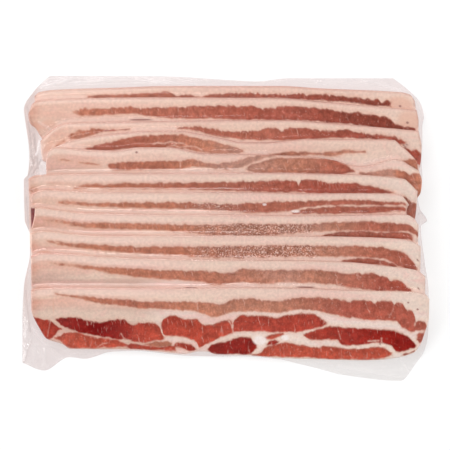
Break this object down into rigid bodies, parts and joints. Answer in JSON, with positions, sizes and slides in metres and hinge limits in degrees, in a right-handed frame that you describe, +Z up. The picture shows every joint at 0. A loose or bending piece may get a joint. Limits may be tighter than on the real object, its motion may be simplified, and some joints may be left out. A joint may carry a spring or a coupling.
{
  "type": "pack of frozen pork belly slices",
  "caption": "Flat vacuum bag of clear film drawn tight over shingled strips of frozen pork belly, pale fat banded with red lean.",
  "frame": {"origin": "middle of the bag's footprint, on the surface that it lies on", "axes": "+X along the slices, +Y towards the back of the pack, where the first slice lies, +Z up out of the shown side"},
  "size_m": [0.26, 0.1952, 0.0178],
  "materials": {
    "wrapped_meat": "gloss",
    "film": "gloss",
    "pork": "satin"
  },
  "bodies": {
    "root": {"sealed_bag": "wrapped_meat"}
  },
  "joints": []
}
